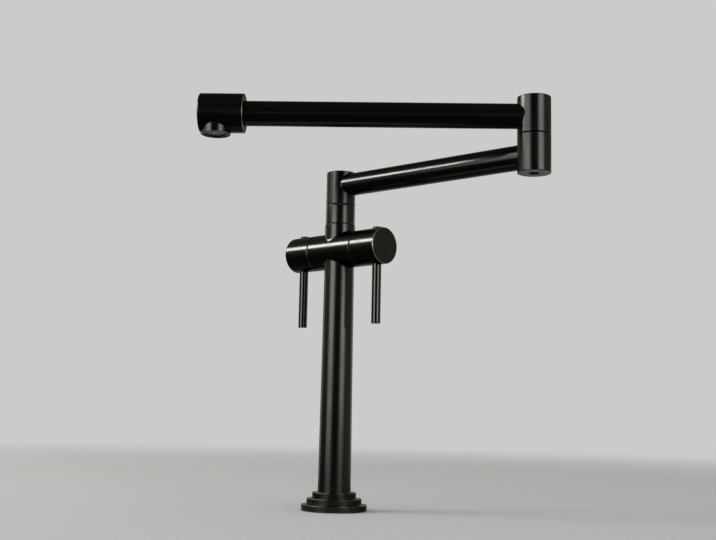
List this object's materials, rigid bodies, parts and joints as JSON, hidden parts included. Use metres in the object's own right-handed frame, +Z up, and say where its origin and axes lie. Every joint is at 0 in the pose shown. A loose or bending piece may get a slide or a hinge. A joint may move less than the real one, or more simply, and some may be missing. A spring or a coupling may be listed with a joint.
{
  "type": "folding kitchen faucet",
  "caption": "Deck-mounted folding kitchen faucet: tall column, cross valve barrel with drum handles and rod levers, and two arms that swivel at the hub and the elbow.",
  "frame": {"origin": "centre of the tap hole at the deck surface that the base gasket lies on", "axes": "+Z up along the column, +X along the valve barrel towards the right-hand handle, -Y towards the user"},
  "size_m": [0.2954, 0.2247, 0.4281],
  "materials": {
    "black_metal": "semi-gloss black gunmetal on brass",
    "raw_brass": "machined",
    "copper_tube": "drawn copper",
    "steel": "plain",
    "rubber": "matte",
    "black_plastic": "low-friction plastic",
    "grey_plastic": "moulded",
    "ceramic": "lapped alumina"
  },
  "bodies": {
    "base": {"base_flange": "black_metal", "deck_gasket": "rubber", "column_tube": "black_metal", "threaded_shank": "raw_brass", "deck_seal": "rubber", "clamp_washer": "steel", "lock_nut": "raw_brass", "inlet_block": "raw_brass", "cold_riser": "copper_tube", "hot_riser": "copper_tube", "valve_barrel": "black_metal", "left_cartridge": "raw_brass", "right_cartridge": "raw_brass", "left_seat_seal": "rubber", "right_seat_seal": "rubber", "left_fixed_disc": "ceramic", "right_fixed_disc": "ceramic", "swivel_collar": "black_metal", "hub_wear_ring": "black_plastic"},
    "left_handle": {"left_drum": "black_metal", "left_lever": "black_metal", "left_grub_screw": "steel", "left_stem": "raw_brass", "left_turning_disc": "ceramic", "left_stem_seal": "rubber", "left_stem_clip": "steel"},
    "right_handle": {"right_drum": "black_metal", "right_lever": "black_metal", "right_grub_screw": "steel", "right_stem": "raw_brass", "right_turning_disc": "ceramic", "right_stem_seal": "rubber", "right_stem_clip": "steel"},
    "lower_arm": {"swivel_spindle": "raw_brass", "swivel_o_rings": "rubber", "lower_hub": "black_metal", "lower_arm_tube": "black_metal", "elbow_lower_housing": "black_metal", "elbow_wear_ring": "black_plastic"},
    "upper_arm": {"elbow_spindle": "raw_brass", "elbow_o_rings": "rubber", "elbow_washer": "steel", "elbow_screw": "steel", "elbow_upper_housing": "black_metal", "upper_arm_tube": "black_metal", "spout_head": "black_metal", "aerator_housing": "black_metal", "aerator_core": "grey_plastic", "aerator_seal": "rubber"}
  },
  "joints": [
    {"name": "hub_swivel", "type": "hinge", "parent": "base", "child": "lower_arm", "pos_m": [0, 0, 0.2967], "axis": [0, 0, 1], "continuous": true},
    {"name": "elbow_swivel", "type": "hinge", "parent": "lower_arm", "child": "upper_arm", "pos_m": [0.2209, 0.01158, 0.3342], "axis": [0, 0, 1], "continuous": true},
    {"name": "left_valve", "type": "hinge", "parent": "base", "child": "left_handle", "pos_m": [-0.045, 0, 0.2512], "axis": [1, 0, 0], "range_deg": [-90, 0]},
    {"name": "right_valve", "type": "hinge", "parent": "base", "child": "right_handle", "pos_m": [0.045, 0, 0.2512], "axis": [1, 0, 0], "range_deg": [-90, 0]}
  ]
}
